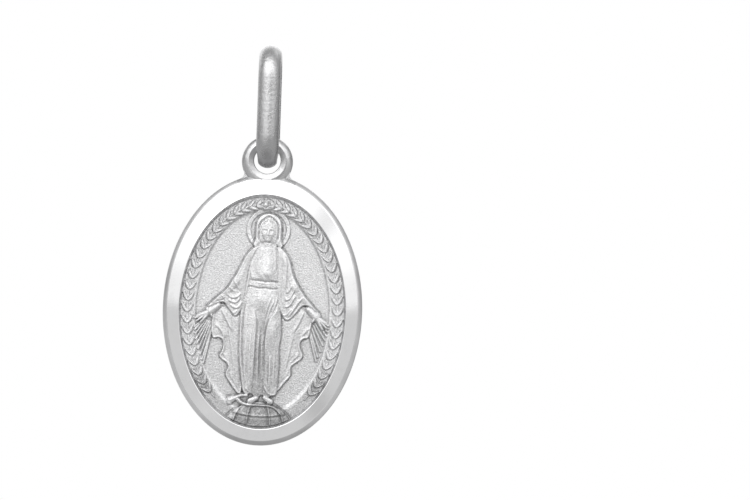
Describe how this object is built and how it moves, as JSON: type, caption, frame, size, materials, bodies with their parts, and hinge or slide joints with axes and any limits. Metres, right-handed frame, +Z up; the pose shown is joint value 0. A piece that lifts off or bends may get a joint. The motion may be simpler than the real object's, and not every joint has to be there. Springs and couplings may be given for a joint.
{
  "type": "oval religious medal pendant",
  "caption": "Oval struck medal with a standing robed figure in relief, a mirror rim and a pierced eye, hanging from a closed elongated loop.",
  "frame": {"origin": "top of the inside of the hanging loop, where a chain bears", "axes": "+Z up, the front of the medal faces -Y, +X to the right of someone looking at the front"},
  "size_m": [0.0134, 0.0044, 0.027],
  "materials": {
    "loop_metal": "satin silver, slightly worn",
    "medal_metal": "sandblasted silver field and relief, mirror-polished rim and eye"
  },
  "bodies": {
    "bail": {"bail": "loop_metal"},
    "medal": {"medal": "medal_metal"}
  },
  "joints": [
    {"name": "medal_swing", "type": "hinge", "parent": "bail", "child": "medal", "pos_m": [0, 0, -0.00654], "axis": [0, 1, 0], "range_deg": [-110, 110]}
  ]
}
